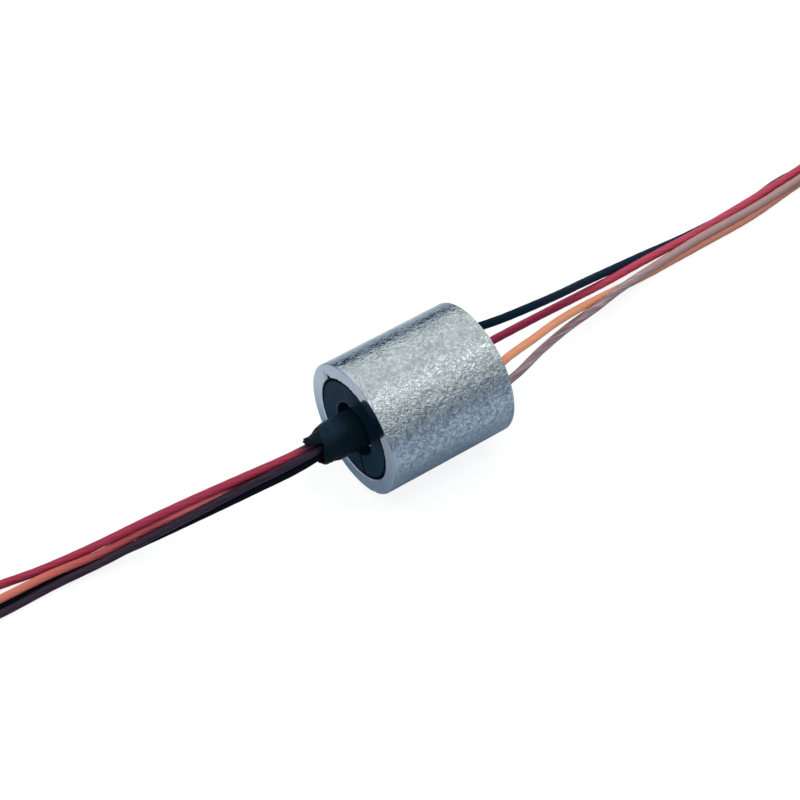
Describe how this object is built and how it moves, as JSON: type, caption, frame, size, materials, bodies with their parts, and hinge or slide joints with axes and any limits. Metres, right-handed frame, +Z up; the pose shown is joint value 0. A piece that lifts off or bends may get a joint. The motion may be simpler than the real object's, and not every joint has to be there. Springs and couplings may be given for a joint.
{
  "type": "slip ring",
  "caption": "Miniature metal-cased capsule slip ring with a turning hollow rotor, ball bearings, gold contact rings and coloured flying leads on both ends.",
  "frame": {"origin": "on the rotor axis, at the middle of the metal housing's length", "axes": "+X along the rotor axis from the rotor-lead end (V notch) to the stator-lead end; +Z up as the part lies on its side on a table"},
  "size_m": [0.1044, 0.0103, 0.0085],
  "materials": {
    "blasted_steel": "fine blasted, polished rim",
    "block_plastic": "moulded satin, slate navy",
    "potting_resin": "cast resin",
    "gold_alloy": "gold plated",
    "bearing_steel": "ground and polished",
    "cage_steel": "stamped",
    "shaft_steel": "turned",
    "spacer_plastic": "turned engineering plastic",
    "shrink_tube": "satin heat-shrink",
    "tie_sleeve": "soft, matt",
    "lead_red": "thin translucent film over strands",
    "lead_orange": "thin translucent film over strands",
    "lead_brown": "thin translucent film over strands",
    "lead_black": "thin film over strands"
  },
  "bodies": {
    "stator": {"housing": "blasted_steel", "brush_block_a": "block_plastic", "brush_block_b": "block_plastic", "rear_cap": "block_plastic", "rear_potting": "potting_resin", "brush_1a": "gold_alloy", "brush_1b": "gold_alloy", "brush_2a": "gold_alloy", "brush_2b": "gold_alloy", "brush_3a": "gold_alloy", "brush_3b": "gold_alloy", "brush_4a": "gold_alloy", "brush_4b": "gold_alloy", "front_outer_race": "bearing_steel", "rear_outer_race": "bearing_steel", "stator_lead_red": "lead_red", "stator_lead_orange": "lead_orange", "stator_lead_brown": "lead_brown", "stator_lead_black": "lead_black", "stator_hank": "lead_black", "stator_hank_tie": "tie_sleeve"},
    "rotor": {"rotor_shaft": "shaft_steel", "front_inner_race": "bearing_steel", "rear_inner_race": "bearing_steel", "ring_1": "gold_alloy", "ring_2": "gold_alloy", "ring_3": "gold_alloy", "ring_4": "gold_alloy", "spacer_1": "spacer_plastic", "spacer_2": "spacer_plastic", "spacer_3": "spacer_plastic", "spacer_4": "spacer_plastic", "spacer_5": "spacer_plastic", "heat_shrink_sleeve": "shrink_tube", "rotor_lead_red": "lead_red", "rotor_lead_orange": "lead_orange", "rotor_lead_brown": "lead_brown", "rotor_lead_black": "lead_black", "rotor_hank": "lead_black", "rotor_hank_tie": "tie_sleeve"},
    "front_cage": {"front_cage": "cage_steel", "front_balls": "bearing_steel"},
    "rear_cage": {"rear_cage": "cage_steel", "rear_balls": "bearing_steel"}
  },
  "joints": [
    {"name": "rotor_spin", "type": "hinge", "parent": "stator", "child": "rotor", "pos_m": [0, 0, 0], "axis": [1, 0, 0], "continuous": true},
    {"name": "front_cage_spin", "type": "hinge", "parent": "stator", "child": "front_cage", "pos_m": [-0.00285, 0, 0], "axis": [1, 0, 0], "continuous": true},
    {"name": "rear_cage_spin", "type": "hinge", "parent": "stator", "child": "rear_cage", "pos_m": [0.00285, 0, 0], "axis": [1, 0, 0], "continuous": true}
  ],
  "couplings": [
    {"joint": "front_cage_spin", "follows": "rotor_spin", "ratio": 0.4},
    {"joint": "rear_cage_spin", "follows": "rotor_spin", "ratio": 0.4}
  ]
}
